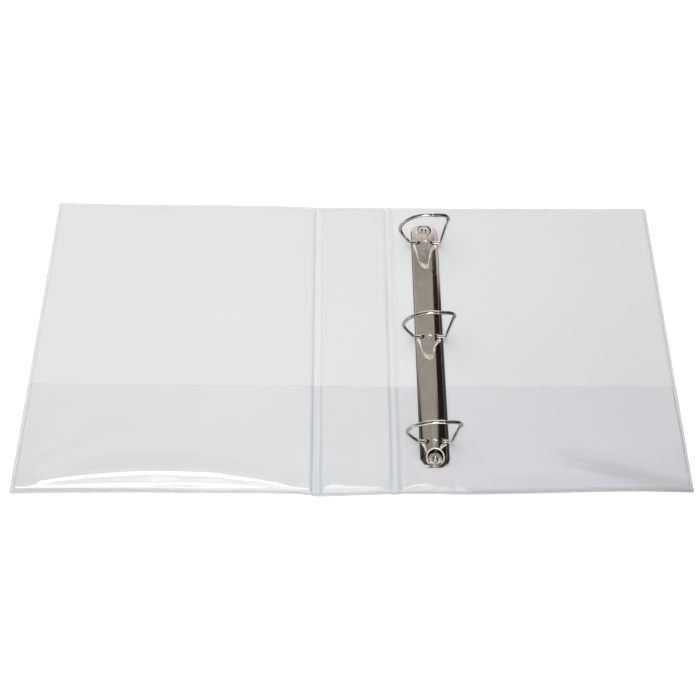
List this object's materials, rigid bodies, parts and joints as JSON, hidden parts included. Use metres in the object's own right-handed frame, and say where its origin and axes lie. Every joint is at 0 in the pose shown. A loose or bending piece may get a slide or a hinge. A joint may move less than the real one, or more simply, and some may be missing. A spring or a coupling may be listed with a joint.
{
  "type": "ring binder",
  "caption": "White vinyl ring binder lying open, with D-shaped rings on the back cover, folding spine and front cover, and inside pockets.",
  "frame": {"origin": "middle of the spine on the table plane, halfway up the page", "axes": "+X runs across from the front cover to the back cover, +Y up the page, +Z out of the inside of the covers"},
  "size_m": [0.617, 0.3108, 0.0608],
  "materials": {
    "white_vinyl": "soft satin calendered vinyl",
    "clear_film": "clear glossy film",
    "pocket_film": "clear satin film with a faint blue cast",
    "chipboard": "grey-brown chipboard",
    "nickel_plate": "bright nickel plate",
    "ring_wire": "bright nickel plated wire",
    "zinc_steel": "plain plated strip steel"
  },
  "bodies": {
    "back_cover": {"back_board": "chipboard", "back_outer_vinyl": "white_vinyl", "back_inner_vinyl": "white_vinyl", "back_view_film": "clear_film", "back_pocket_film": "pocket_film", "ring_housing": "nickel_plate", "housing_rivets": "nickel_plate"},
    "spine": {"spine_board": "chipboard", "spine_outer_vinyl": "white_vinyl", "spine_inner_vinyl": "white_vinyl", "spine_view_film": "clear_film", "spine_pocket_film": "pocket_film"},
    "front_cover": {"front_board": "chipboard", "front_outer_vinyl": "white_vinyl", "front_inner_vinyl": "white_vinyl", "front_view_film": "clear_film", "front_pocket_film": "pocket_film"},
    "left_rings": {"left_blade": "zinc_steel", "upper_left_ring_half": "ring_wire", "middle_left_ring_half": "ring_wire", "lower_left_ring_half": "ring_wire"},
    "right_rings": {"right_blade": "zinc_steel", "upper_right_ring_half": "ring_wire", "middle_right_ring_half": "ring_wire", "lower_right_ring_half": "ring_wire"}
  },
  "joints": [
    {"name": "spine_fold", "type": "hinge", "parent": "back_cover", "child": "spine", "pos_m": [0.0342, 0, 0.00036], "axis": [0, 1, 0], "range_deg": [-90, 90]},
    {"name": "front_cover_fold", "type": "hinge", "parent": "spine", "child": "front_cover", "pos_m": [-0.0372, 0, 0.00036], "axis": [0, 1, 0], "range_deg": [-90, 90]},
    {"name": "right_rings_open", "type": "hinge", "parent": "back_cover", "child": "right_rings", "pos_m": [0.08355, 0, 0.00497], "axis": [0, 1, 0], "range_deg": [0, 12], "stiffness_Nm_per_rad": 0.5},
    {"name": "left_rings_open", "type": "hinge", "parent": "back_cover", "child": "left_rings", "pos_m": [0.06165, 0, 0.00497], "axis": [0, -1, 0], "range_deg": [0, 12], "stiffness_Nm_per_rad": 0.5}
  ],
  "couplings": [
    {"joint": "right_rings_open", "follows": "left_rings_open", "ratio": 1}
  ]
}
